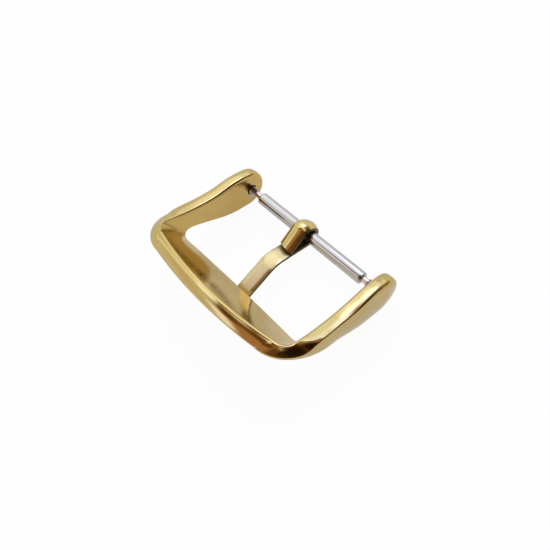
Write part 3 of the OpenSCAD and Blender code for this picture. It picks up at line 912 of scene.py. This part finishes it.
@dataclass
class SpringBar:
    """The sprung bar: a drawn tube, two turned plungers and the coil spring inside.

    The spring is wound anew in two halves.
    """

    spring_from: float = -6.61
    spring_to: float = 6.96
    spring_r: float = 0.39
    wire_d: float = 0.18
    coils: int = 21
    coil_steps: int = 24
    wire_sides: int = 10

    def wind(self, name: str, first: float, last: float) -> Piece:
        """Winds the wire between two shares of the spring's length.

        Args:
            name: the piece's name.
            first: the share where the piece starts.
            last: the share where it ends.

        Returns:
            That stretch of the helix as one piece.
        """
        length = self.spring_to - self.spring_from - self.wire_d
        lean = length / self.coils / (2 * math.pi * self.spring_r)
        count = round((last - first) * self.coils * self.coil_steps)
        turns = [2 * math.pi * k / self.wire_sides for k in range(self.wire_sides)]
        rings = []
        for t in (mix(first, last, k / count) for k in range(count + 1)):
            a = 2 * math.pi * self.coils * t
            out = Vector((0, math.cos(a), math.sin(a)))
            across = out.cross(Vector((lean, -math.sin(a), math.cos(a))).normalized())
            centre = Vector((self.spring_from + self.wire_d / 2 + length * t, 0, 0)) + out * self.spring_r
            rings.append([centre + (out * math.cos(b) + across * math.sin(b)) * (self.wire_d / 2)
                          for b in turns])
        return sweep(name, rings, {})

    def build(self) -> list[Piece]:
        """Winds both halves and hides the spring's solid.

        Returns:
            The two halves of the spring.
        """
        wire = DrawnSteel(colour="8f9296", polish=0.3).material("spring_steel_wire")
        halves = []
        for side, first, last, far in (
                ("left", 0.0, 0.5, self.spring_from), ("right", 0.5, 1.0, self.spring_to)):
            half = self.wind(f"spring_half_{side}", first, last)
            half.data.materials.append(wire)
            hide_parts("spring_bar_spring")
            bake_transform(half)
            halves.append(half)
        return halves

    def dress(self) -> None:
        """Gives the tube and the two plungers their steel."""
        tube = DrawnSteel(mark=Mark.SEAM).material("stainless_tube_drawn")
        turned = DrawnSteel(colour="e4dad4", polish=0.14, mark=Mark.GROOVES).material("stainless_pin_turned")
        for name, material in (("spring_bar_tube", tube), ("spring_bar_plunger_left", turned),
                               ("spring_bar_plunger_right", turned)):
            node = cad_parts[name]
            node.data.materials.clear()
            node.data.materials.append(material)
            LOG.info("dressed %s", name)


@dataclass(frozen=True)
class Panel:
    """A soft box or a dark flag over the object, with soft edges.

    Its place and size are shares of its height: a panel 1 wide reaches 45 degrees from upright.
    """

    x: float
    y: float
    half_x: float
    half_y: float
    soft: float
    level: float
    tint: str = "ffffff"

    def light(self) -> Colour:
        """The panel's colour at its level."""
        red, green, blue, _ = linear(self.tint)
        return red * self.level, green * self.level, blue * self.level, 1.0


@dataclass
class Studio:
    """A pale floor, a soft dome with panels and dark flags, a lamp and the camera.

    A later panel covers an earlier one where they meet.
    """

    base_level: float = 0.82
    lowest: float = 0.02  # the panels end at this height, as a share of the dome's radius
    panels: tuple[Panel, ...] = (
        # The dim warm room beyond the right arm
        Panel(3.1, 3.2, 3.02, 2.95, 0.06, 0.38, "ffd0a8"),
        Panel(0.72, 0.85, 0.32, 0.5, 0.12, 0.16, "ffb860"),
        # Lights for the left side of the front
        Panel(-0.95, -0.95, 0.2, 0.5, 0.2, 0.77, "fff2e2"),
        Panel(-1.0, -0.37, 0.45, 0.08, 0.05, 1.22, "f6faff"),
        # The brown room on the right
        Panel(0.75, -1.72, 1.28, 1.5, 0.03, 0.5, "ffc498"),
        Panel(1.35, -1.0, 1.2, 0.75, 0.22, 0.17, "ffbc88"),
        Panel(2.2, 0.2, 1.55, 1.05, 0.12, 0.06, "ffb880"),
        Panel(1.1, 0.35, 0.5, 0.6, 0.25, 0.02, "ffb0a0"),
        # Brown flags for the dark line under the rim
        Panel(-0.44, -0.53, 0.09, 0.14, 0.06, 0.14, "ffb65c"),
        Panel(-0.12, -0.4, 0.25, 0.16, 0.1, 0.17, "ffb65c"),
        # Windows for the highlights on rim and bands
        Panel(-0.6, -0.4, 0.09, 0.07, 0.03, 2.1, "d8e0ff"),
        Panel(-0.42, -0.22, 0.1, 0.12, 0.06, 1.7, "e4e8ff"),
        Panel(-0.22, -0.1, 0.12, 0.1, 0.06, 1.8, "d8e0ff"),
        Panel(-0.5, 0.05, 0.2, 0.24, 0.08, 1.35, "f6f6ff"),
        Panel(-0.6, 0.08, 0.08, 0.15, 0.05, 1.6, "fafaff"),
        # Windows for the left arm and the tube
        Panel(-1.4, 0.75, 0.45, 0.45, 0.14, 1.15, "f0f4ff"),
        Panel(-0.6, 1.25, 0.66, 0.4, 0.1, 1.45, "e4ecff"),
        Panel(-0.25, 1.15, 0.12, 0.25, 0.06, 2.1, "ccd8ff"),
        Panel(-0.71, 0.52, 0.35, 0.4, 0.06, 1.65, "e8ecff"),
        Panel(-0.15, 0.52, 0.2, 0.4, 0.06, 2.5, "c4d2ff"),
        Panel(-0.07, 0.6, 0.13, 0.4, 0.05, 3.8, "adbeff"),
        # The pale patch on the front
        Panel(-0.56, -1.08, 0.11, 0.28, 0.07, 2.3, "c8ccff"),
    )
    paper: str = "d8d8d8"
    paper_glow: float = 1.05
    seen_glow: float = 0.9  # the share that the camera sees
    mirrored_glow: float = 0.47  # and the share that metal mirrors
    floor_half_m: float = 0.6
    lamp_way: Point = (-0.2, 0.49, 0.85)
    lamp_far_m: float = 0.3
    lamp_size_m: float = 0.1
    lamp_watts: float = 0.03
    camera_at: Point = (0.0249993, -0.0232166, 0.0479127)  # metres
    camera_turn: Point = (31.00302706, 4.63462072, 47.18236834)
    lens: float = 32.80824207
    sensor_w: float = 36.0
    near_m: float = 0.001

    def build_world(self) -> None:
        """Paints the dome: white for the camera, the panels and flags for everything else."""
        world = bpy.data.worlds.new("studio_dome")
        bpy.context.scene.world = world
        world.use_nodes = True
        tree = world.node_tree
        tree.nodes.clear()
        way = add(tree, "TexCoord").outputs["Generated"]
        parts = add(tree, "SeparateXYZ", {0: way})
        height = add(tree, "Math", {0: parts.outputs["Z"], 1: self.lowest}, operation="MAXIMUM")
        tall = add(tree, "CombineXYZ", {0: height, 1: height, 2: 1.0})
        flat = add(tree, "VectorMath", {0: way, 1: tall}, operation="DIVIDE")
        colour: Socket | Colour = (self.base_level, self.base_level, self.base_level, 1.0)
        for panel in self.panels:
            away = add(tree, "VectorMath", {0: flat, 1: (panel.x, panel.y, 0.0)}, operation="SUBTRACT")
            gap = add(tree, "SeparateXYZ", {0: add(tree, "VectorMath", {0: away}, operation="ABSOLUTE")})
            shares = [add(tree, "MapRange", {0: gap.outputs[axis], 1: half + panel.soft,
                                             2: half - panel.soft}, interpolation_type="SMOOTHSTEP")
                      for axis, half in (("X", panel.half_x), ("Y", panel.half_y))]
            share = add(tree, "Math", {0: shares[0], 1: shares[1]}, operation="MULTIPLY")
            colour = add(tree, "Mix", {0: share, 6: colour, 7: panel.light()}, data_type="RGBA",
                         clamp_result=False).outputs[2]
        seen = add(tree, "LightPath").outputs["Is Camera Ray"]
        dome = add(tree, "Background", {"Color": colour, "Strength": 1.0})
        white = add(tree, "Background", {"Color": (1, 1, 1, 1), "Strength": 1.0})
        shown = add(tree, "MixShader", {0: seen, 1: dome, 2: white})
        add(tree, "OutputWorld", {"Surface": shown})

    def build_floor(self, low: float) -> None:
        """Lays the floor under the object: matt paper, which the camera and the metal see glow.

        Args:
            low: height of the object's lowest point, in metres.
        """
        mesh = bpy.data.meshes.new("floor_sheet")
        size = self.floor_half_m
        corners = [(x * size, y * size, low) for x, y in ((-1, -1), (1, -1), (1, 1), (-1, 1))]
        mesh.from_pydata(corners, [], [(0, 1, 2, 3)])
        material, tree = new_material("studio_paper_matt")
        path = add(tree, "LightPath")
        paper = add(tree, "BsdfDiffuse", {"Color": linear(self.paper)})
        white = add(tree, "Emission", {"Color": (1, 1, 1, 1), "Strength": self.paper_glow})
        seen = add(tree, "Math", {0: path.outputs["Is Camera Ray"], 1: self.seen_glow}, operation="MULTIPLY")
        share = add(tree, "Math", {0: path.outputs["Is Glossy Ray"], 1: self.mirrored_glow, 2: seen},
                    operation="MULTIPLY_ADD")
        shown = add(tree, "MixShader", {0: share, 1: paper, 2: white})
        add(tree, "OutputMaterial", {"Surface": shown})
        mesh.materials.append(material)
        put("floor_sheet", mesh)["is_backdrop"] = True

    def build_lamp(self) -> None:
        """Hangs the soft key lamp beyond the spring bar."""
        data = bpy.data.lights.new("key_softbox", "AREA")
        data.shape, data.size, data.energy = "DISK", self.lamp_size_m, self.lamp_watts
        lamp = put("key_softbox", data)
        direction = Vector(self.lamp_way).normalized()
        lamp.location = direction * self.lamp_far_m
        lamp.rotation_euler = direction.to_track_quat("Z", "Y").to_euler()

    def build_camera(self) -> None:
        """Puts the camera where the photograph was taken from, on the wrist side."""
        data = bpy.data.cameras.new("camera")
        data.sensor_width, data.lens, data.clip_start = self.sensor_w, self.lens, self.near_m
        camera = put("camera", data)
        camera.location = self.camera_at
        camera.rotation_euler = [math.radians(a) for a in self.camera_turn]
        bpy.context.scene.camera = camera


def main() -> None:
    """Builds and dresses the buckle, then the studio round it."""
    logging.basicConfig(level=logging.INFO, format="%(name)s: %(message)s")
    bpy.context.scene.view_settings.view_transform = "Standard"
    start_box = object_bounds()
    for maker in (BuckleFrame(), Tongue()):
        piece = maker.build()
        maker.dress(piece)
        LOG.info("built %s with %d faces", piece.name, len(piece.data.polygons))
    bar = SpringBar()
    for half in bar.build():
        LOG.info("wound %s with %d faces", half.name, len(half.data.polygons))
    bar.dress()
    studio = Studio()
    studio.build_camera()
    studio.build_world()
    studio.build_floor(start_box[0][2])
    studio.build_lamp()


if __name__ == "__main__":
    main()
